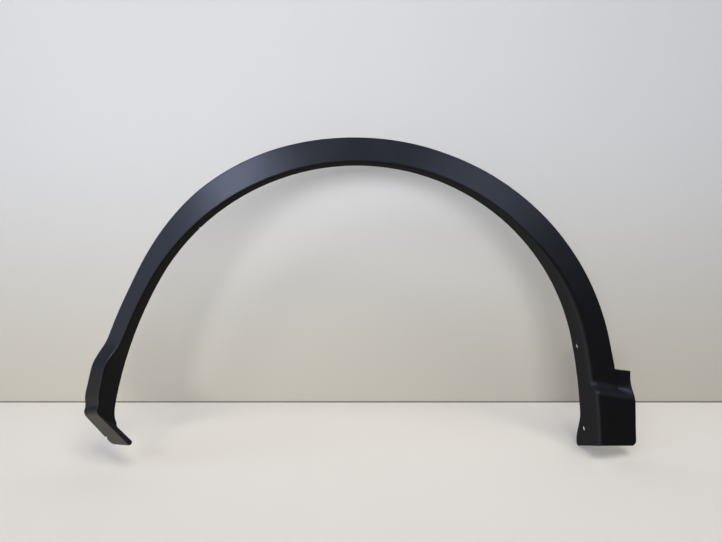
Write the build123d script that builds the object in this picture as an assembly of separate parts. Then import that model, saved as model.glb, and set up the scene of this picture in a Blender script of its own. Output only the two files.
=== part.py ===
from build123d import *
import os
from math import acos, asin, cos, hypot, radians, sin, tan

# Wheel arch trim for the left front wing of a car, moulded in one piece
# X runs to the rear of the car, Y goes inboard and Z is up
# Sections stand about the wheel centre, and Y = 0 is where the outer edge meets the wing
# Angles are about the wheel centre, up from the rear, and places run along the opening

# Opening, taken at the rear edge of the return flange
opening_radius = 375.0
crown_start = 13.0
crown_end = 150.0
rear_flank_radius = 940.0
front_flank_radius = 700.0

# Cross-section of the arch
wall = 2.8
nose_height = 24.5
flange_behind_wing = 25.0
flange_draft = 0.4
edge_height = 5.0
edge_round = 2.0
rim_round = 1.2
inner_round = 0.8

# Rounding of the nose, soft on the rear flank and sharp over the crown
nose_round_foot = 7.0
nose_round_flank = 10.0
nose_round_crown = 2.4
nose_soft_angle = 24.0
nose_sharp_angle = 46.0

# Width of the face, seen square on, with a little more at the front shoulder
face_width_crown = 40.6
face_width_front = 29.0
face_width_corner = 29.3
face_width_rear = 53.2
face_widening_angle = 72.0
face_widening_power = 1.3
face_narrowing_angle = 124.0
front_narrow_run = 40.0
shoulder_width = 2.4
shoulder_angle = 113.0
shoulder_spread = 26.0

# Rear foot, which steps wider and kicks outboard
foot_end_height = -95.0
foot_end_slope = 0.42
foot_end_fall = 0.02
foot_step_height = 44.3
foot_step_fall = 0.14
foot_kick = 18.0
foot_kick_length = 28.0
foot_kick_drop = 27.0
foot_edge_kick = 13.0
foot_edge_kick_length = 53.0
foot_edge_kick_drop = 10.5
foot_side_reach = 80.7
foot_side_lean = 0.067
step_side_reach = 78.3
foot_ear = 17.0
foot_ear_length = 48.0
foot_ear_straight = 12.0
foot_corner_round = 11.0
ear_round = 7.0
step_inside_round = 4.0
corner_overlap = 0.3
corner_margin = 0.4
foot_slant_run = 150.0

# Front foot, which kicks outboard, measured along the opening from the end of the crown
front_kick = 20.0
front_kick_run = 103.0
front_kick_length = 56.0
front_kick_shift = 6.5
front_edge_kick = 13.5
front_edge_kick_run = 112.0
front_edge_kick_length = 50.0
front_corner_run = 241.5
front_corner_shift = 2.0
front_corner_slope = 0.69
front_corner_rake = -0.01
front_corner_soft = 6.0
front_tuck = 7.0
front_tuck_length = 30.0
front_slant_run = 130.0

# Tongue that ends the front foot, folded towards the rear
tongue_run = 53.2
tongue_fall = 23.1
tongue_end_rake = 0.296
tongue_end_slope = 0.16
tongue_width = 40.9
tongue_lip = 15.0
tongue_lip_lean = 4.2
tongue_corner_round = 14.0

# Small nick worn into the outer edge of the tongue
nick_share = 0.79
nick_width = 6.4
nick_depth = 4.4
nick_length = 10.0

# Screw holes through the flange at the rear, in seats that thin its hidden side
screw_hole_diameter = 7.5
screw_seat_diameter = 16.0
screw_land = 1.2
screw_upper_height = 75.5
screw_upper_depth = 7.0
screw_lower_height = -69.7
screw_lower_depth = 12.5

# Relief slit in the front half of the flange
slit_angle = 133.0
slit_width = 2.5
slit_depth = 14.0

# Clip seats moulded behind the face
clip_count = 6
clip_first_angle = 33.0
clip_last_angle = 137.0
clip_length = 24.0
clip_edge_side = 12.0
clip_width = 17.0
clip_wall = 2.0
clip_seat_gap = 2.0
clip_neck = 6.0
clip_head = 8.4

# Sections along the arch and along the rear foot
arch_sections = 60
foot_sections = 17
fold_sections = 5

inboard = Vector(0, 1, 0)
upward = Vector(0, 0, 1)
rearward = Vector(1, 0, 0)
rear_flank_length = rear_flank_radius * radians(crown_start)
crown_finish = rear_flank_length + opening_radius * radians(crown_end - crown_start)


def ease(place, first, last):
    """Smooth rise from 0 at first to 1 at last"""
    u = min(max((place - first) / (last - first), 0.0), 1.0)
    return u * u * (3.0 - 2.0 * u)


def crown_place(angle):
    """Place along the opening of an angle on the crown"""
    return rear_flank_length + opening_radius * radians(angle - crown_start)


def rear_place(height):
    """Place along the opening of a height on the rear flank"""
    base = sin(radians(crown_start)) * (opening_radius - rear_flank_radius)
    return rear_flank_radius * asin((height - base) / rear_flank_radius)


def rim(place):
    """Point, outward and onward directions on the opening, from the rear foot over the crown"""
    if place < rear_flank_length:
        joint = radians(crown_start)
        radius = rear_flank_radius
        angle = place / radius
    elif place < crown_finish:
        joint = radians(crown_start)
        radius = opening_radius
        angle = joint + (place - rear_flank_length) / radius
    else:
        joint = radians(crown_end)
        radius = front_flank_radius
        angle = joint + (place - crown_finish) / radius
    centre = Vector(cos(joint), 0, sin(joint)) * (opening_radius - radius)
    outward = Vector(cos(angle), 0, sin(angle))
    onward = Vector(-sin(angle), 0, cos(angle))
    return centre + outward * radius, outward, onward


foot_end = rear_place(foot_end_height)
foot_step = rear_place(foot_step_height)
foot_kick_top = foot_step - foot_kick_drop
foot_kick_end = foot_kick_top - foot_kick_length
foot_edge_top = foot_step - foot_edge_kick_drop
foot_edge_end = foot_edge_top - foot_edge_kick_length
front_kick_place = crown_finish + front_kick_run
front_kick_end = front_kick_place + front_kick_length
front_edge_place = crown_finish + front_edge_kick_run
front_edge_end = front_edge_place + front_edge_kick_length
front_corner = crown_finish + front_corner_run
front_soft_place = front_corner - front_corner_soft


def front_kicked(place):
    """Share of the front foot's kick"""
    return ease(place, front_kick_place, front_kick_end)


def corner_share(place):
    """How far a place lies from the front kick to the corner"""
    return ease(place, front_kick_end, front_corner)


def edge_share(place):
    """How far the outer edge has followed the nose to the corner, which it does late"""
    return max((place - front_kick_end) / (front_corner - front_kick_end), 0.0) ** 3


def nose_depth(place):
    """How far the nose stands outboard of the wing"""
    rear = foot_kick * (1.0 - ease(place, foot_kick_end, foot_kick_top))
    return nose_height + rear + front_kick * front_kicked(place)


def edge_depth(place):
    """How far the outer edge of the face stands outboard of the wing"""
    rear = foot_edge_kick * (1.0 - ease(place, foot_edge_end, foot_edge_top))
    front = front_edge_kick * ease(place, front_edge_place, front_edge_end)
    return edge_height + rear + front


def nose_shift(place):
    """How far the nose lies outside the flange's rear edge"""
    kicked = flange_draft + (front_kick_shift - flange_draft) * front_kicked(place)
    return kicked + (front_corner_shift - front_kick_shift) * corner_share(place)


def face_width(place):
    """Width of the face, seen square on"""
    widening = crown_place(face_widening_angle)
    rear = max((widening - place) / (widening - foot_step), 0.0) ** face_widening_power
    front = ease(place, crown_place(face_narrowing_angle), crown_finish + front_narrow_run)
    shoulder = crown_place(shoulder_angle)
    spread = opening_radius * radians(shoulder_spread)
    bulge = 1.0 - ease(abs(place - shoulder), 0.0, spread)
    width = face_width_crown + (face_width_rear - face_width_crown) * rear + shoulder_width * bulge
    width += (face_width_front - face_width_crown) * front
    width += (face_width_corner - face_width_front) * edge_share(place)
    return width + (front_kick_shift - front_corner_shift) * (corner_share(place) - edge_share(place))


def nose_round(place):
    """Rounding of the nose along the opening"""
    flank = ease(place, foot_kick_end, foot_kick_top)
    crown = ease(place, crown_place(nose_soft_angle), crown_place(nose_sharp_angle))
    soft = nose_round_foot + (nose_round_flank - nose_round_foot) * flank
    return soft + (nose_round_crown - soft) * crown


def flange_depth(place):
    """How far the flange reaches inboard of the wing"""
    start = foot_end + foot_ear_straight
    return flange_behind_wing + foot_ear * (1.0 - ease(place, start, start + foot_ear_length))


def slopes(place):
    """Slant of a section plane along the opening, for depth and for width"""
    rear = 1.0 - ease(place, foot_step, foot_step + foot_slant_run)
    front = ease(place, front_kick_place - front_slant_run, front_kick_place)
    depth = foot_end_slope * (front - rear)
    depth += (front_corner_slope - foot_end_slope) * corner_share(place)
    down_foot = max((foot_step - place) / (foot_step - foot_end), 0.0)
    fall = foot_step_fall + (foot_end_fall - foot_step_fall) * down_foot
    level = tan(place / rear_flank_radius)
    return depth, front_corner_rake * corner_share(place) - (level + fall) * rear


def station(place):
    """Function that carries a flat section to its place along the opening"""
    point, outward, onward = rim(place)
    depth_slope, width_slope = slopes(place)

    def carry(spot):
        along = onward * (depth_slope * spot.Y + width_slope * spot.X)
        return point + outward * spot.X + inboard * spot.Y + along

    return carry


def tongue_end(spot):
    """Carries a flat section to the end of the front tongue"""
    rise = tongue_end_slope * (spot.Y + nose_depth(front_corner)) - tongue_end_rake * spot.X
    return rim(front_corner)[0] + Vector(tongue_run - spot.X, spot.Y, rise - tongue_fall)


def left_of(start, finish):
    """Direction at right angles to a step, on the hollow side of the skin"""
    step = (finish - start).normalized()
    return Vector(-step.Y, step.X)


def skin(points, rounds, inner_rounds):
    """Corners of a section of constant wall, with their roundings and whether those are cut flat"""
    inner = [points[0] + left_of(points[0], points[1]) * wall]
    for before, here, after in zip(points, points[1:], points[2:]):
        first = left_of(before, here)
        second = left_of(here, after)
        inner.append(here + (first + second) * (wall / (1.0 + first.dot(second))))
    inner.append(points[-1] + left_of(points[-2], points[-1]) * wall)
    outer_flats = [True] + [False] * (len(points) - 1)
    inner_flats = [True] * len(points)
    return list(zip(points, rounds, outer_flats)) + list(zip(inner, inner_rounds, inner_flats))[::-1]


def inside(radius):
    """Rounding on the hollow side of a rounded corner"""
    return max(radius - wall, inner_round)


def rounded(corners, carry):
    """Spots of a section: one for a sharp corner, two for a flat, start, middle and end for an arc"""
    spots = []
    for i, (here, radius, flat) in enumerate(corners):
        if radius == 0.0:
            spots.append([carry(here)])
            continue
        back = (corners[i - 1][0] - here).normalized()
        ahead = (corners[(i + 1) % len(corners)][0] - here).normalized()
        half = acos(back.dot(ahead)) / 2.0
        cut = radius / sin(half) - radius
        if flat:
            reach = cut / cos(half)
            spots.append([carry(here + back * reach)])
            spots.append([carry(here + ahead * reach)])
        else:
            reach = radius / tan(half)
            middle = here + (back + ahead).normalized() * cut
            spots.append([carry(here + back * reach), carry(middle), carry(here + ahead * reach)])
    return spots


def ring(spots):
    """Closed wire of lines and arcs through the spots of a section"""
    edges = []
    for spot, following in zip(spots, spots[1:] + spots[:1]):
        if len(spot) == 3:
            edges.append(Edge.make_three_point_arc(*spot))
        edges.append(Edge.make_line(spot[-1], following[0]))
    return Wire(edges)


def arch_spots(place):
    """Section of the arch: flange, nose, face and outer edge"""
    shift = nose_shift(place)
    side = shift + face_width(place)
    tuck = front_tuck * ease(place, front_corner - front_tuck_length, front_corner)
    points = [
        Vector(-tuck, flange_depth(place)),
        Vector(shift, -nose_depth(place)),
        Vector(side, -edge_depth(place)),
        Vector(side, 0),
    ]
    nose = nose_round(place)
    rounds = [rim_round, nose, edge_round, 0.0]
    inner_rounds = [rim_round, inside(nose), 0.0, 0.0]
    return rounded(skin(points, rounds, inner_rounds), station(place))


def foot_reach(place):
    """Where the face bends and where it ends in the rear foot, measured from the opening"""
    point = rim(place)[0]
    shift = nose_shift(place)
    stepped = ease(place, foot_edge_end, foot_edge_top)
    reach = foot_side_reach + (step_side_reach - foot_side_reach) * stepped
    leaning = foot_side_lean * (foot_step_height - point.Z)
    return shift, shift + face_width(foot_step), opening_radius + reach + leaning - point.X


def foot_spots(place):
    """Section of the rear foot, whose face runs on to a side wall"""
    shift, bend, side = foot_reach(place)
    nose = nose_depth(place)
    edge = edge_depth(place)
    straight = nose + (edge - nose) * (bend - shift) / (side - shift)
    flat = ease(place, foot_kick_end, foot_kick_top)
    points = [
        Vector(0, flange_depth(place)),
        Vector(shift, -nose),
        Vector(bend, (straight - edge_height) * flat - straight),
        Vector(side, -edge),
        Vector(side, 0),
    ]
    rounds = [rim_round, nose_round(place), 0.0, edge_round, 0.0]
    inner_rounds = [rim_round, inside(nose_round(place)), 0.0, 0.0, 0.0]
    return rounded(skin(points, rounds, inner_rounds), station(place))


def evenly(first, last, count):
    """Values at even distances"""
    return [first + (last - first) * i / (count - 1) for i in range(count)]


# Arch from the step in the rear foot to the front foot
arch = Solid.make_loft([ring(arch_spots(p)) for p in evenly(foot_step, front_soft_place, arch_sections)])

# Rear foot, with a lip that closes the top of its step
foot = Solid.make_loft([ring(foot_spots(p)) for p in evenly(foot_end, foot_step, foot_sections)])
lip_rings = []
for place in (foot_step - wall, foot_step):
    shift, bend, side = foot_reach(place)
    lip_start = bend - 2.0 * wall
    lip_finish = side - wall / 2.0
    lip_depth = wall / 2.0 - edge_height
    lip_corners = (
        Vector(lip_start, 0),
        Vector(lip_start, lip_depth),
        Vector(lip_finish, lip_depth),
        Vector(lip_finish, 0),
    )
    lip_rings.append(ring([[station(place)(c)] for c in lip_corners]))
step_lip = Solid.make_loft(lip_rings, ruled=True)

# Tongue of the front foot, folded softly at the corner and tapering to its end
tongue_nose = nose_depth(front_corner)
tongue_points = [
    Vector(tongue_lip_lean, tongue_lip - tongue_nose),
    Vector(0, -tongue_nose),
    Vector(tongue_width, -edge_depth(front_corner)),
    Vector(tongue_width, 0),
]
tongue_rounds = [rim_round, nose_round_crown, edge_round, 0.0]
tongue_inner_rounds = [rim_round, inside(nose_round_crown), 0.0, 0.0]
fold_start = arch_spots(front_soft_place)
fold_corner = arch_spots(front_corner)
tongue_finish = rounded(skin(tongue_points, tongue_rounds, tongue_inner_rounds), tongue_end)
fold_share = front_corner_soft / (fold_corner[2][1] - tongue_finish[2][1]).length


def fold(u):
    """Section part of the way round the soft fold"""
    spots = []
    for start, corner, finish in zip(fold_start, fold_corner, tongue_finish):
        spot = []
        for p, q, r in zip(start, corner, finish):
            beyond = q + (r - q) * fold_share
            spot.append(p * (1.0 - u) ** 2 + q * 2.0 * u * (1.0 - u) + beyond * u ** 2)
        spots.append(spot)
    return spots


tongue_rings = [ring(fold(u)) for u in evenly(0.0, 1.0, fold_sections)] + [ring(tongue_finish)]
tongue = Solid.make_loft(tongue_rings, ruled=True)

trim = arch + foot + step_lip + tongue


def corner_piece(corner, first, second, radius, along, length):
    """Piece between a sharp corner and its rounding, with its length to both sides"""
    half = acos(first.dot(second)) / 2.0
    reach = radius / tan(half)
    inward = (first + second).normalized()
    corner = corner - inward * (corner_overlap / sin(half))
    centre = corner + inward * (radius / sin(half))
    beyond = corner + (corner - centre) * corner_margin
    middle = centre + (corner - centre).normalized() * radius
    start = corner + first * reach
    finish = corner + second * reach
    outline = [
        Edge.make_line(beyond, start),
        Edge.make_three_point_arc(start, middle, finish),
        Edge.make_line(finish, beyond),
    ]
    return extrude(Face(Wire(outline)), amount=length, dir=along, both=True)


# Rounded corners of the rear foot, and a rounding inside its step
foot_fall = Vector(0, 1, -foot_end_slope).normalized()
foot_corner = station(foot_end)(Vector(foot_reach(foot_end)[2], 0))
foot_side = Vector(-foot_side_lean, 0, 1).normalized()
foot_bottom = Vector(-1, 0, foot_end_fall).normalized()
foot_thickness = nose_depth(foot_end) + flange_depth(foot_end)
trim -= corner_piece(foot_corner, foot_side, foot_bottom, foot_corner_round, foot_fall, foot_thickness)
ear_depth = flange_depth(foot_end)
ear_corner = Vector(rim(foot_end)[0].X, ear_depth, foot_end_height - foot_end_slope * ear_depth)
trim -= corner_piece(ear_corner, upward, -foot_fall, ear_round, rearward, 4.0 * wall)
edge_middle = edge_height / 2.0
inside_corner = station(foot_step)(Vector(foot_reach(foot_step)[1], -edge_middle))
inside_length = edge_middle - edge_round / 2.0
edge_line = rim(foot_step)[2]
step_line = Vector(1, 0, -foot_step_fall).normalized()
trim += corner_piece(inside_corner, edge_line, step_line, step_inside_round, foot_fall, inside_length)

# Rounded corner where the tongue's outer edge meets its end
edge_start = fold_corner[3][1]
edge_run = tongue_finish[3][1] - edge_start
edge_along = Vector(edge_run.X, 0, edge_run.Z).normalized()
end_corner = tongue_end(tongue_points[2])
end_line = Vector(1, 0, tongue_end_rake).normalized()
end_fall = Vector(0, 1, tongue_end_slope).normalized()
trim -= corner_piece(end_corner, -edge_along, end_line, tongue_corner_round, end_fall, tongue_nose)

# Nick in the tongue's outer edge, cut square to the edge
nick_place = edge_start + edge_run * nick_share
edge_in = Vector(-edge_along.Z, 0, edge_along.X)
nick_mouth = nick_place - edge_in * nick_depth
nick_corners = (
    nick_mouth - edge_along * nick_width,
    nick_mouth + edge_along * nick_width,
    nick_place + edge_in * nick_depth,
)
trim -= extrude(Face(Wire.make_polygon(nick_corners)), amount=nick_length / 2.0, dir=inboard, both=True)

# Screw holes and their seats in the flange at the rear
for height, depth in ((screw_upper_height, screw_upper_depth), (screw_lower_height, screw_lower_depth)):
    point, outward, onward = rim(rear_place(height))
    drill = Plane(origin=point + inboard * depth, z_dir=outward)
    trim -= extrude(drill * Circle(screw_hole_diameter / 2.0), amount=4.0 * wall, both=True)
    trim -= extrude(drill.offset(screw_land) * Circle(screw_seat_diameter / 2.0), amount=wall)

# Relief slit, open at the flange's rear edge, with a round end
point, outward, onward = rim(crown_place(slit_angle))
slit = Plane(origin=point + inboard * flange_behind_wing, x_dir=inboard, z_dir=outward)
slit_outline = SlotCenterToCenter(2.0 * slit_depth - slit_width, slit_width)
trim -= extrude(slit * slit_outline, amount=4.0 * wall, both=True)


def clip_seat(place):
    """Box behind the face, open at one end, with a keyhole for a push-in clip"""
    point, outward, onward = rim(place)
    shift = nose_shift(place)
    rise = (nose_depth(place) - edge_depth(place)) / face_width(place)
    sunk = wall / 2.0 * hypot(1.0, rise) - nose_depth(place)

    def outline(near, far, top):
        """Side view of a block that stands in the middle of the face's wall"""
        low = sunk + rise * (near - shift)
        high = sunk + rise * (far - shift)
        return Polygon((near, low), (far, high), (far, top), (near, top), align=None)

    far_side = shift + face_width(place) - clip_edge_side
    near_side = far_side - clip_width
    across = Plane(origin=point - onward * (clip_length / 2.0), x_dir=outward, z_dir=onward)
    seat = extrude(across * outline(near_side, far_side, -clip_seat_gap), amount=clip_length)
    hollow = outline(near_side + clip_wall, far_side - clip_wall, -clip_seat_gap - clip_wall)
    seat -= extrude(across * hollow, amount=clip_length - clip_wall)
    middle = point + outward * (near_side + clip_width / 2.0) - inboard * clip_seat_gap
    keyhole = Circle(clip_head / 2.0) + Pos(0, clip_length / 4.0) * Rectangle(clip_neck, clip_length / 2.0)
    above = Plane(origin=middle, x_dir=outward, z_dir=inboard)
    return seat - extrude(above * keyhole, amount=2.0 * clip_wall, both=True)


for angle in evenly(clip_first_angle, clip_last_angle, clip_count):
    trim += clip_seat(crown_place(angle))

# Origin under the middle of the trim, level with its lowest point
box = trim.bounding_box()
trim = Pos(-box.center().X, -box.center().Y, -box.min.Z) * trim

os.makedirs("parts", exist_ok=True)
export_step(trim, "parts/arch_trim.step")
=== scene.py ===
import math

import bpy
from bpy.props import FloatProperty, FloatVectorProperty, PointerProperty
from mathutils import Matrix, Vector


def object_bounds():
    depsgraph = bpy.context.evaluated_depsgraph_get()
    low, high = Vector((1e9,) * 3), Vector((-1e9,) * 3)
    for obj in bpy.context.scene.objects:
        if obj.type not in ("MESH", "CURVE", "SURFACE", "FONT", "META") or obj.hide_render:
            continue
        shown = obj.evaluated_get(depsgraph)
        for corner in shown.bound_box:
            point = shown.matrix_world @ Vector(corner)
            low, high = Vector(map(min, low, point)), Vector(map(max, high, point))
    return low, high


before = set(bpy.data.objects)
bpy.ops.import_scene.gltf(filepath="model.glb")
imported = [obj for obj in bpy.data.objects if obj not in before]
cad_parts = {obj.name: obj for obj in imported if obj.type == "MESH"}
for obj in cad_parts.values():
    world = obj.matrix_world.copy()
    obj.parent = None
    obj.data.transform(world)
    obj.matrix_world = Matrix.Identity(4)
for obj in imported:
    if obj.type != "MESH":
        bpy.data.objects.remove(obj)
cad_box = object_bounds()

bl_info = {
    "name": "Wheel arch trim",
    "version": (1, 0, 0),
    "blender": (4, 5, 0),
    "location": "3D View > Sidebar > Arch Trim",
    "description": "Grained black plastic, pale table and soft light for a moulded wheel arch trim",
    "category": "Object",
}

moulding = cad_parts["arch_trim"]
middle = (cad_box[0] + cad_box[1]) / 2

# Photo frame in pixels, and the lens that saw it
PHOTO_WIDTH = 722
FOCAL_PIXELS = 545
SENSOR_WIDTH = 36
LEVEL = math.radians(90)

# Directions, with the trim seen from outside the car
LEFT = (-1.0, 0.0, 0.0)
RIGHT = (1.0, 0.0, 0.0)
OUTWARD = (0.0, -1.0, 0.0)
INWARD = (0.0, 1.0, 0.0)
UP = (0.0, 0.0, 1.0)
DOWN = (0.0, 0.0, -1.0)

# Lights: direction from the trim, and distance in metres
LEFT_WINDOW = ((-0.53, -0.50, 0.68), 2.2)
RIGHT_WINDOW = ((0.57, -0.50, 0.65), 2.2)
FRONT_LIGHT = ((-0.12, -0.98, 0.09), 2.6)
TOP_LIGHT = ((0.16, -0.60, 0.78), 2.6)
SIDE_LIGHT = ((-0.44, -0.77, 0.46), 2.4)

# Plastic: where each part of the finish begins and where it is full
RUBBED_TURN = (0.02, 0.16)
RUBBED_PATCHES = (0.55, 0.85)
DUST_SLOPE = (0.15, 0.9)
DUST_PATCHES = (0.5, 0.85)
FLANGE_TURN = (0.1, 0.3)
UNDERSIDE_TURN = (0.5, 0.95)
HIDDEN_TURN = (0.3, 0.8)

# Plastic: how much each part of the finish shows in the colour
CLOUDS_IN_RUBBED = 0.4
SPECKS_IN_DUST = 0.3
DEEP_DYE = 0.8
DEEP_SHARE = 0.35
RUBBED_SHARE = 0.5
# Painted light on the hidden side, and how much the clouds vary it
HIDDEN_PAINTED_LIGHT_SHARE = 0.6
HIDDEN_CLOUDS = 0.5
DUST_SHARE = 0.03

# Plastic: how much each part of the finish changes the roughness
UNDERSIDE_COARSER = 0.25
CLOUDS_COARSER = 0.12
CLOUDS_MIDDLE = 0.5
DUST_COARSER = 0.06
RUBBED_SMOOTHER = 0.06

# Plastic: clouds, specks, grain and gloss
CLOUD_DETAIL = 4.0
SPECK_DETAIL = 5.0
SPECK_ROUGHNESS = 0.65
PEBBLE_SMOOTHNESS = 0.6
PIT_SIZE = 0.4
PIT_DEPTH = 0.35
PIT_DETAIL = 2.0
GRAIN_STRENGTH = 0.6
EDGE_SAMPLES = 6
FOLD_SAMPLES = 8
PLASTIC_IOR = 1.49

# Table: clouds in metres, and how its painted light pales it from front to back, with painted shade at the
# front
TABLE_CLOUDS = 0.35
TABLE_DETAIL = 3.0
TABLE_PAINTED_LIGHT_SPAN = (-0.5, 0.3)
TABLE_PAINTED_SHADE_TONE = 0.76
TABLE_PAINTED_FRONT_SHADE = 0.85
TABLE_PAINTED_BACK_LIGHT = 0.8
TABLE_CLOUD_SHADE = 0.2
TABLE_ROUGHNESS = 0.55

# Wall: patches and heights in metres, the painted warm bounce light and shade near the table, the painted
# shade that darkens it to the right, and the painted shadow in the gap at its foot
WALL_PATCHES = 0.5
WALL_DETAIL = 2.0
WALL_PAINTED_FOOT_SPAN = (0.65, -0.05)
WALL_PAINTED_SHADE_SPAN = (-0.8, 0.9)
WALL_PATCH_SHADE = 0.04
WALL_ROUGHNESS = 0.9
GAP_PAINTED_SHADOW_SPAN = (0.0015, 0.0)
PAINTED_GAP_SHADOW = (0.0, 0.0, 0.0)

# Room: where each side of it begins and where it is full
ROOM_LEFT = (0.0, 0.9)
ROOM_FRONT = (-0.3, 0.3)
ROOM_WARMING = (0.15, -0.2)
ROOM_TABLE = (-0.35, -0.65)
ROOM_CEILING = (0.5, 0.95)
ROOM_ASIDE = (0.0, 0.12)
ROOM_STRAIGHT_BACK = 0.25
UPPER_RIGHT_ACROSS = (0.6, 0.85)
UPPER_RIGHT_AHEAD = (0.15, 0.4)
UPPER_RIGHT_HEIGHT = (0.05, 0.3)

# Sockets of a Mix node that blends colours
MIX_SHARE = 0
MIX_UNDER = 6
MIX_OVER = 7
MIX_COLOUR = 2


class Tone:
    """Output of a shader node; sums on it add Math nodes"""

    def __init__(self, shader, socket):
        self.shader = shader
        self.socket = socket

    def math(self, operation, first, second):
        return self.shader.add("ShaderNodeMath", {"operation": operation}, {0: first, 1: second})

    def __add__(self, other):
        return self.math("ADD", self, other)

    def __radd__(self, other):
        return self.math("ADD", other, self)

    def __sub__(self, other):
        return self.math("SUBTRACT", self, other)

    def __rsub__(self, other):
        return self.math("SUBTRACT", other, self)

    def __mul__(self, other):
        return self.math("MULTIPLY", self, other)

    def __rmul__(self, other):
        return self.math("MULTIPLY", other, self)


class Shader:
    """Node tree of a material or of the world"""

    def __init__(self, owner):
        owner.use_nodes = True
        self.tree = owner.node_tree
        self.tree.nodes.clear()

    def add(self, kind, settings=None, sockets=None, output=0):
        """New node with its settings and sockets, as the tone of one of its outputs"""
        node = self.tree.nodes.new(kind)
        for name, value in (settings or {}).items():
            setattr(node, name, value)
        for name, value in (sockets or {}).items():
            if isinstance(value, Tone):
                self.tree.links.new(value.socket, node.inputs[name])
            else:
                node.inputs[name].default_value = value
        return Tone(self, node.outputs[output] if len(node.outputs) else None)

    def noise(self, place, size, detail, roughness=0.55):
        """Soft clouds with spots of a size, from 0 to 1"""
        sockets = {"Vector": place, "Scale": 1.0 / size, "Detail": detail, "Roughness": roughness}
        return self.add("ShaderNodeTexNoise", sockets=sockets)

    def mask(self, tone, limits):
        """0 up to the first limit of a tone, 1 from the second on, and soft between"""
        begins, full = limits
        sockets = {"Value": tone, "From Min": begins, "From Max": full}
        return self.add("ShaderNodeMapRange", {"interpolation_type": "SMOOTHSTEP"}, sockets)

    def blend(self, share, under, over):
        """One colour over another by a share"""
        sockets = {MIX_SHARE: share, MIX_UNDER: under, MIX_OVER: over}
        return self.add("ShaderNodeMix", {"data_type": "RGBA"}, sockets, MIX_COLOUR)

    def facing(self, first, second):
        """How far two directions agree, or how far a place lies along a direction"""
        sockets = {0: first, 1: second}
        return self.add("ShaderNodeVectorMath", {"operation": "DOT_PRODUCT"}, sockets, "Value")

    def front_only(self):
        """1 on the front of a sheet and 0 on its back, so that the trim is seen from behind too"""
        return 1.0 - self.add("ShaderNodeNewGeometry", output="Backfacing")


def opaque(colour, share=1.0):
    """Colour that nothing shows through, darker where the share is below 1"""
    return (*[channel * share for channel in colour], 1.0)


class PlasticFinish(bpy.types.PropertyGroup):
    """Finish of the moulding"""

    colour: FloatVectorProperty(
        name="Plastic",
        description="Colour of the mass-dyed plastic",
        subtype="COLOR", min=0, max=1, default=(0.0035, 0.0035, 0.0038),
    )
    rubbed_colour: FloatVectorProperty(
        name="Rubbed edges",
        description="Colour of the edges where handling has polished the grain away",
        subtype="COLOR", min=0, max=1, default=(0.05, 0.051, 0.054),
    )
    dust_colour: FloatVectorProperty(
        name="Dust",
        description="Colour of the thin dust on faces that look up",
        subtype="COLOR", min=0, max=1, default=(0.30, 0.29, 0.27),
    )
    # Painted light: a colour far lighter than the plastic, on the side towards the wing
    hidden_painted_light: FloatVectorProperty(
        name="Hidden side",
        description="Colour of the side towards the wing, which is left plain and is a little dusty",
        subtype="COLOR", min=0, max=1, default=(0.045, 0.045, 0.046),
    )
    roughness: FloatProperty(
        name="Roughness",
        description="Satin of the clean plastic",
        subtype="FACTOR", min=0, max=1, default=0.38,
    )
    flange_roughness: FloatProperty(
        name="Flange roughness",
        description="Satin of the return flange, which is left coarser than the face",
        subtype="FACTOR", min=0, max=1, default=0.75,
    )
    wheel_centre: FloatVectorProperty(
        name="Wheel centre",
        description="Place that the return flange looks at",
        subtype="TRANSLATION", unit="LENGTH", default=(-0.0133, 0.0, 0.1096),
    )
    cloud_size: FloatProperty(
        name="Cloud size",
        description="Size of the soft clouds in the colour and the satin",
        unit="LENGTH", min=0.01, default=0.11,
    )
    speck_size: FloatProperty(
        name="Speck size",
        description="Size of the specks in the rubbed edges and the dust",
        unit="LENGTH", min=0.001, default=0.006,
    )
    grain_size: FloatProperty(
        name="Grain size",
        description="Distance between the pebbles of the moulded grain",
        unit="LENGTH", min=0.0002, default=0.0011,
    )
    grain_depth: FloatProperty(
        name="Grain depth",
        description="Depth of the moulded grain",
        unit="LENGTH", min=0, default=0.00006,
    )
    fold_radius: FloatProperty(
        name="Fold radius",
        description="How far the shading of a fold is rounded",
        unit="LENGTH", min=0.0001, default=0.0025,
    )
    edge_width: FloatProperty(
        name="Edge width",
        description="Distance from an edge that handling has rubbed",
        unit="LENGTH", min=0.0001, default=0.0012,
    )


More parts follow.
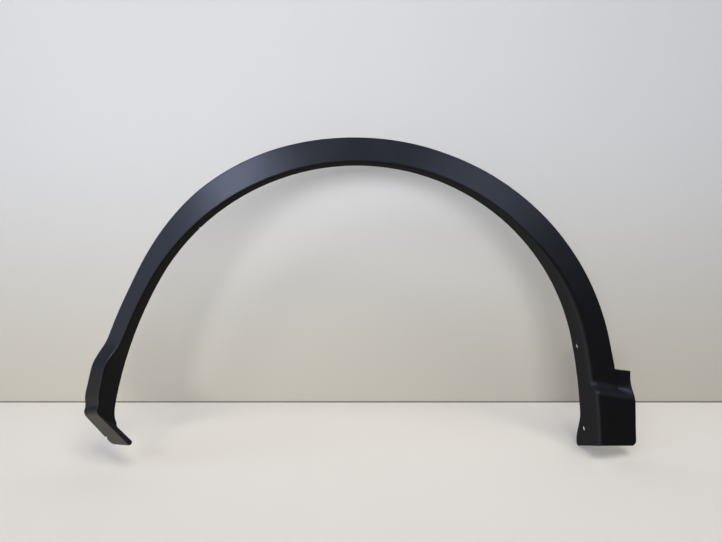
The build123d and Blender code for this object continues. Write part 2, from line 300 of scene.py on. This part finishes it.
class StageLook(bpy.types.PropertyGroup):
    """Table, wall, room, lights and camera"""

    table_colour: FloatVectorProperty(
        name="Table",
        description="Colour of the table top",
        subtype="COLOR", min=0, max=1, default=(0.92, 0.86, 0.745),
    )
    table_back: FloatProperty(
        name="Table back",
        description="Distance from the trim to the back edge of the table",
        unit="LENGTH", default=0.279,
    )
    # The wall below the table's edge, seen through this gap, is painted black as shadow
    table_gap: FloatProperty(
        name="Gap",
        description="Dark gap between the table and the wall",
        unit="LENGTH", default=0.0038,
    )
    table_reach: FloatProperty(
        name="Table reach",
        description="Distance from the trim to the other edges of the table and the wall",
        unit="LENGTH", min=0.5, default=2.5,
    )
    wall_colour: FloatVectorProperty(
        name="Wall",
        description="Colour of the wall behind the table, and of the room that the camera sees past it",
        subtype="COLOR", min=0, max=1, default=(0.44, 0.442, 0.435),
    )
    # Painted warm bounce light and shade: the wall is painted warmer and darker near the table
    wall_foot_painted_bounce: FloatVectorProperty(
        name="Wall foot",
        description="Warmer colour of the wall near the table",
        subtype="COLOR", min=0, max=1, default=(0.385, 0.358, 0.295),
    )
    # Painted shade: how much darker the wall is painted on the right
    wall_painted_shade: FloatProperty(
        name="Wall shade",
        description="How much darker the wall is on the right",
        subtype="FACTOR", min=0, max=1, default=0.17,
    )
    wall_height: FloatProperty(
        name="Wall height",
        description="Height of the wall over the table",
        unit="LENGTH", min=0.5, default=1.1,
    )
    camera_place: FloatVectorProperty(
        name="Camera",
        description="Place of the camera",
        subtype="TRANSLATION", unit="LENGTH", default=(-0.04885, -0.87526, 0.39806),
    )
    camera_pitch: FloatProperty(
        name="Camera pitch",
        description="How far the camera looks down",
        subtype="ANGLE", default=math.radians(5.45),
    )
    camera_yaw: FloatProperty(
        name="Camera turn",
        description="How far the camera, the table and the wall are turned to the right",
        subtype="ANGLE", default=math.radians(2.61),
    )
    window_colour: FloatVectorProperty(
        name="Window colour",
        description="Cool colour of the windows and of the room that they light",
        subtype="COLOR", min=0, max=2, default=(0.79, 0.91, 1.30),
    )
    left_power: FloatProperty(
        name="Left window",
        description="Power of the window at the upper left",
        subtype="POWER", unit="POWER", min=0, default=12.5,
    )
    left_size: FloatProperty(
        name="Left window size",
        description="Width and height of the window at the upper left",
        unit="LENGTH", min=0.1, default=0.55,
    )
    right_power: FloatProperty(
        name="Right window",
        description="Power of the window at the upper right",
        subtype="POWER", unit="POWER", min=0, default=6.2,
    )
    right_width: FloatProperty(
        name="Right window width",
        description="Width of the window at the upper right",
        unit="LENGTH", min=0.1, default=1.3,
    )
    right_height: FloatProperty(
        name="Right window height",
        description="Height of the window at the upper right",
        unit="LENGTH", min=0.1, default=1.0,
    )
    front_colour: FloatVectorProperty(
        name="Front colour",
        description="Nearly white colour of the lights behind the camera and at the front left",
        subtype="COLOR", min=0, max=2, default=(0.96, 0.98, 1.045),
    )
    front_power: FloatProperty(
        name="Front light",
        description="Power of the wide soft light behind the camera",
        subtype="POWER", unit="POWER", min=0, default=70,
    )
    front_width: FloatProperty(
        name="Front light width",
        description="Width of the light behind the camera",
        unit="LENGTH", min=0.1, default=1.3,
    )
    front_height: FloatProperty(
        name="Front light height",
        description="Height of the light behind the camera",
        unit="LENGTH", min=0.1, default=0.35,
    )
    top_colour: FloatVectorProperty(
        name="Top colour",
        description="Warm colour of the light above the camera",
        subtype="COLOR", min=0, max=2, default=(1.0, 0.97, 0.91),
    )
    top_power: FloatProperty(
        name="Top light",
        description="Power of the large soft light above the camera",
        subtype="POWER", unit="POWER", min=0, default=34,
    )
    top_size: FloatProperty(
        name="Top light size",
        description="Width and height of the light above the camera",
        unit="LENGTH", min=0.1, default=1.3,
    )
    side_power: FloatProperty(
        name="Side light",
        description="Power of the soft light at the front left",
        subtype="POWER", unit="POWER", min=0, default=9,
    )
    side_size: FloatProperty(
        name="Side light size",
        description="Width and height of the light at the front left",
        unit="LENGTH", min=0.1, default=0.55,
    )
    bright_side: FloatProperty(
        name="Room on the left",
        description="Brightness of the room on the left, in front of the trim",
        min=0, default=0.98,
    )
    dark_side: FloatProperty(
        name="Room on the right",
        description="Brightness of the room on the right, and the least that it has anywhere",
        min=0, default=0.02,
    )
    right_side: FloatProperty(
        name="Upper right",
        description="Brightness of the room at the upper right, in front of the trim",
        min=0, default=0.34,
    )
    ceiling: FloatProperty(
        name="Ceiling",
        description="Brightness of the room above and in front of the trim",
        min=0, default=0.38,
    )
    back_side: FloatProperty(
        name="Room behind",
        description="Brightness of the room behind the trim, which its flange mirrors",
        min=0, default=0.09,
    )
    glow_colour: FloatVectorProperty(
        name="Glow colour",
        description="Warm colour of the pale table as the trim mirrors it",
        subtype="COLOR", min=0, max=2, default=(1.0, 0.93, 0.80),
    )
    glow: FloatProperty(
        name="Table glow",
        description="Brightness of the table as the trim's front foot mirrors it",
        min=0, default=0.46,
    )
    back_glow: FloatProperty(
        name="Table glow behind",
        description="Brightness of the table as the hidden side of the trim mirrors it",
        min=0, default=0.20,
    )
    backdrop: FloatProperty(
        name="Backdrop",
        description="Brightness of the room where the camera looks past the table and the wall",
        min=0, default=1.4,
    )


def black_plastic(finish):
    """Satin black plastic with a fine moulded grain, rubbed edges, a little dust, and painted light on the
    side towards the wing
    """
    material = bpy.data.materials.new("black_plastic")
    shader = Shader(material)
    place = shader.add("ShaderNodeTexCoord", output="Object")
    surface = shader.add("ShaderNodeNewGeometry", output="Normal")
    clouds = shader.noise(place, finish.cloud_size, CLOUD_DETAIL)
    specks = shader.noise(place, finish.speck_size, SPECK_DETAIL, SPECK_ROUGHNESS)

    # Edges where the softened surface turns away from the true one, in patches
    softened = shader.add("ShaderNodeBevel", {"samples": EDGE_SAMPLES}, {"Radius": finish.edge_width})
    edges = shader.mask(1.0 - shader.facing(surface, softened), RUBBED_TURN)
    rubbed = edges * shader.mask(specks + clouds * CLOUDS_IN_RUBBED, RUBBED_PATCHES)

    # Dust on what looks up, in patches
    upward = shader.mask(shader.facing(surface, UP), DUST_SLOPE)
    dust = upward * shader.mask(clouds + specks * SPECKS_IN_DUST, DUST_PATCHES)

    # Flange, whose surface looks at the wheel centre, and its underside over the wheel
    wheelward = shader.add(
        "ShaderNodeVectorMath", {"operation": "SUBTRACT"}, {0: finish.wheel_centre, 1: place}, "Vector"
    )
    flange = shader.mask(shader.facing(surface, wheelward), FLANGE_TURN)
    underside = flange * shader.mask(shader.facing(surface, DOWN), UNDERSIDE_TURN)

    # Colour: cloudy dye, rubbed edges, painted light on the hidden side, dust
    dyed = shader.blend(clouds * DEEP_SHARE, opaque(finish.colour), opaque(finish.colour, DEEP_DYE))
    worn = shader.blend(rubbed * RUBBED_SHARE, dyed, opaque(finish.rubbed_colour))
    # Painted light: the side towards the wing is painted much lighter, in cloudy patches, to show its form
    # from behind
    hidden = shader.mask(shader.facing(surface, INWARD), HIDDEN_TURN)
    plain = hidden * (HIDDEN_PAINTED_LIGHT_SHARE + clouds * HIDDEN_CLOUDS)
    with_painted_back_light = shader.blend(plain, worn, opaque(finish.hidden_painted_light))
    dusty = shader.blend(dust * DUST_SHARE, with_painted_back_light, opaque(finish.dust_colour))

    # Satin: coarser on the flange and where dust lies, smoother where it is rubbed
    moulded = finish.roughness + flange * (finish.flange_roughness - finish.roughness)
    cloudy = moulded + underside * UNDERSIDE_COARSER + (clouds - CLOUDS_MIDDLE) * CLOUDS_COARSER
    satin = cloudy + dust * DUST_COARSER - rubbed * RUBBED_SMOOTHER

    # Pebbled grain with finer pits between, over rounded folds
    pebbles = shader.add(
        "ShaderNodeTexVoronoi", {"feature": "SMOOTH_F1"},
        {"Vector": place, "Scale": 1.0 / finish.grain_size, "Smoothness": PEBBLE_SMOOTHNESS},
    )
    pits = shader.noise(place, finish.grain_size * PIT_SIZE, PIT_DETAIL)
    grain = pits * PIT_DEPTH - pebbles
    folded = shader.add("ShaderNodeBevel", {"samples": FOLD_SAMPLES}, {"Radius": finish.fold_radius})
    bump = {"Strength": GRAIN_STRENGTH, "Distance": finish.grain_depth, "Height": grain, "Normal": folded}
    relief = shader.add("ShaderNodeBump", sockets=bump, output="Normal")

    skin = {"Base Color": dusty, "Roughness": satin, "IOR": PLASTIC_IOR, "Normal": relief}
    plastic = shader.add("ShaderNodeBsdfPrincipled", sockets=skin)
    shader.add("ShaderNodeOutputMaterial", sockets={"Surface": plastic})
    return material


def table_top(look):
    """Pale, slightly uneven table top, painted a little darker at the front as shade and paler towards the
    wall as light
    """
    material = bpy.data.materials.new("table_top")
    shader = Shader(material)
    place = shader.add("ShaderNodeTexCoord", output="Object")
    clouds = shader.noise(place, TABLE_CLOUDS, TABLE_DETAIL)
    # Painted light and shade: the table is painted paler towards the wall and darker at the front
    backward = shader.mask(shader.facing(place, INWARD), TABLE_PAINTED_LIGHT_SPAN)
    shade = TABLE_PAINTED_FRONT_SHADE - backward * TABLE_PAINTED_BACK_LIGHT + clouds * TABLE_CLOUD_SHADE
    tint = shader.blend(shade, opaque(look.table_colour), opaque(look.table_colour, TABLE_PAINTED_SHADE_TONE))
    skin = {"Base Color": tint, "Roughness": TABLE_ROUGHNESS, "Alpha": shader.front_only()}
    lacquer = shader.add("ShaderNodeBsdfPrincipled", sockets=skin)
    shader.add("ShaderNodeOutputMaterial", sockets={"Surface": lacquer})
    return material


def wall_paint(look):
    """Matt wall with faint uneven patches, painted warmer and darker near the table as bounce light and
    shade, painted darker on the right as shade, and painted black below the table's edge as the shadow in
    the gap
    """
    material = bpy.data.materials.new("wall_paint")
    shader = Shader(material)
    place = shader.add("ShaderNodeTexCoord", output="Object")
    height = shader.facing(place, UP)
    across = shader.facing(place, RIGHT)
    patches = shader.noise(place, WALL_PATCHES, WALL_DETAIL)
    # Painted warm bounce light and shade on the wall near the table
    low = shader.mask(height, WALL_PAINTED_FOOT_SPAN)
    wall_with_painted_foot = shader.blend(low, opaque(look.wall_colour), opaque(look.wall_foot_painted_bounce))
    # Painted shade darkening the wall to the right, plus faint uneven patches
    shade = look.wall_painted_shade * shader.mask(across, WALL_PAINTED_SHADE_SPAN) + patches * WALL_PATCH_SHADE
    # Painted shadow: the wall below the table's edge, seen through the gap, is painted black
    gap = shader.mask(height, GAP_PAINTED_SHADOW_SPAN)
    tint = shader.blend(gap + shade * (1.0 - gap), wall_with_painted_foot, opaque(PAINTED_GAP_SHADOW))
    skin = {"Base Color": tint, "Roughness": WALL_ROUGHNESS, "Alpha": shader.front_only()}
    paint = shader.add("ShaderNodeBsdfPrincipled", sockets=skin)
    shader.add("ShaderNodeOutputMaterial", sockets={"Surface": paint})
    return material


def surroundings(look):
    """Dim room, brighter in front of the trim on the left and above, with a warm glow off the table"""
    world = bpy.data.worlds.new("surroundings")
    shader = Shader(world)
    direction = shader.add("ShaderNodeTexCoord", output="Generated")
    across = shader.facing(direction, RIGHT)
    ahead = shader.facing(direction, OUTWARD)
    height = shader.facing(direction, UP)
    leftward = shader.mask(shader.facing(direction, LEFT), ROOM_LEFT)
    forward = shader.mask(ahead, ROOM_FRONT)
    backward = 1.0 - forward

    # Front of the room, back of the room, and the table below
    right = shader.mask(across, UPPER_RIGHT_ACROSS) * shader.mask(ahead, UPPER_RIGHT_AHEAD)
    right = right * shader.mask(height, UPPER_RIGHT_HEIGHT)
    upward = shader.mask(height, ROOM_CEILING)
    front = leftward * look.bright_side + upward * look.ceiling + right * look.right_side
    aside = ROOM_STRAIGHT_BACK + shader.mask(across * across, ROOM_ASIDE)
    sides = look.dark_side + forward * front + backward * aside * look.back_side
    downward = shader.mask(height, ROOM_TABLE)
    strength = sides + downward * (leftward * look.glow + backward * look.back_glow)
    lowness = shader.mask(height, ROOM_WARMING)
    tint = shader.blend(lowness, opaque(look.window_colour), opaque(look.glow_colour))

    # Plain pale room where the camera looks past the table and the wall
    seen = shader.add("ShaderNodeLightPath", output="Is Camera Ray")
    tint = shader.blend(seen, tint, opaque(look.wall_colour))
    strength = strength + seen * (look.backdrop - strength)
    room = shader.add("ShaderNodeBackground", sockets={"Color": tint, "Strength": strength})
    shader.add("ShaderNodeOutputWorld", sockets={"Surface": room})
    return world


def soft_light(name, place, size, power, colour, mirrored):
    """Light that looks at the middle of the trim, for the trim to mirror or for the table and the wall"""
    lamp = bpy.data.lights.new(name, "AREA")
    lamp.shape = "RECTANGLE"
    lamp.size, lamp.size_y = size
    lamp.energy = power
    lamp.color = colour
    light = bpy.data.objects.new(name, lamp)
    direction, distance = place
    aim = Vector(direction).normalized()
    light.location = middle + aim * distance
    light.rotation_euler = aim.to_track_quat("Z", "Y").to_euler()
    light.visible_glossy = mirrored
    light.visible_diffuse = not mirrored
    bpy.context.scene.collection.objects.link(light)


def sheet(name, corners, material, turn):
    """Flat sheet of the stage, turned about the trim, which doesn't mirror it"""
    mesh = bpy.data.meshes.new(name)
    mesh.from_pydata(corners, [], [(0, 1, 2, 3)])
    mesh.materials.append(material)
    board = bpy.data.objects.new(name, mesh)
    board.rotation_euler.z = turn
    board.visible_glossy = False
    bpy.context.scene.collection.objects.link(board)


def photo_camera(look):
    """Camera at the photo's place, with the photo's lens"""
    lens = bpy.data.cameras.new("camera")
    lens.sensor_width = SENSOR_WIDTH
    lens.lens = SENSOR_WIDTH * FOCAL_PIXELS / PHOTO_WIDTH
    camera = bpy.data.objects.new("camera", lens)
    camera.location = look.camera_place
    camera.rotation_euler = (LEVEL - look.camera_pitch, 0, -look.camera_yaw)
    bpy.context.scene.collection.objects.link(camera)
    return camera


class ARCHTRIM_OT_moulding(bpy.types.Operator):
    """Give the moulding its grained black plastic"""

    bl_idname = "archtrim.moulding"
    bl_label = "Finish the moulding"

    def execute(self, context):
        moulding.data.materials.clear()
        moulding.data.materials.append(black_plastic(context.scene.archtrim_plastic))
        return {"FINISHED"}


class ARCHTRIM_OT_stage(bpy.types.Operator):
    """Set the table, the wall, the room, the lights and the camera"""

    bl_idname = "archtrim.stage"
    bl_label = "Set the stage"

    def execute(self, context):
        scene = context.scene
        look = scene.archtrim_stage
        reach = look.table_reach
        back = look.table_back
        behind = back + look.table_gap
        low = -look.table_gap
        high = look.wall_height
        top = [(-reach, -reach, 0), (reach, -reach, 0), (reach, back, 0), (-reach, back, 0)]
        wall = [(-reach, behind, low), (reach, behind, low), (reach, behind, high), (-reach, behind, high)]
        sheet("table", top, table_top(look), -look.camera_yaw)
        sheet("wall", wall, wall_paint(look), -look.camera_yaw)

        cool = look.window_colour
        white = look.front_colour
        left_size = (look.left_size, look.left_size)
        right_size = (look.right_width, look.right_height)
        front_size = (look.front_width, look.front_height)
        top_size = (look.top_size, look.top_size)
        side_size = (look.side_size, look.side_size)
        soft_light("left_window", LEFT_WINDOW, left_size, look.left_power, cool, mirrored=True)
        soft_light("right_window", RIGHT_WINDOW, right_size, look.right_power, cool, mirrored=True)
        soft_light("front_light", FRONT_LIGHT, front_size, look.front_power, white, mirrored=False)
        soft_light("top_light", TOP_LIGHT, top_size, look.top_power, look.top_colour, mirrored=False)
        soft_light("side_light", SIDE_LIGHT, side_size, look.side_power, white, mirrored=False)

        scene.world = surroundings(look)
        scene.camera = photo_camera(look)
        scene.view_settings.view_transform = "Standard"
        return {"FINISHED"}


class ARCHTRIM_PT_panel(bpy.types.Panel):
    """Sizes and colours of the trim and its stage"""

    bl_label = "Wheel arch trim"
    bl_space_type = "VIEW_3D"
    bl_region_type = "UI"
    bl_category = "Arch Trim"

    def draw(self, context):
        for group, operator in (
            (context.scene.archtrim_plastic, ARCHTRIM_OT_moulding),
            (context.scene.archtrim_stage, ARCHTRIM_OT_stage),
        ):
            for name in group.__annotations__:
                self.layout.prop(group, name)
            self.layout.operator(operator.bl_idname)


classes = (PlasticFinish, StageLook, ARCHTRIM_OT_moulding, ARCHTRIM_OT_stage, ARCHTRIM_PT_panel)


def register():
    for each in classes:
        bpy.utils.register_class(each)
    bpy.types.Scene.archtrim_plastic = PointerProperty(type=PlasticFinish)
    bpy.types.Scene.archtrim_stage = PointerProperty(type=StageLook)


def unregister():
    del bpy.types.Scene.archtrim_stage
    del bpy.types.Scene.archtrim_plastic
    for each in reversed(classes):
        bpy.utils.unregister_class(each)


def main():
    register()
    bpy.ops.archtrim.moulding()
    bpy.ops.archtrim.stage()


if __name__ == "__main__":
    main()
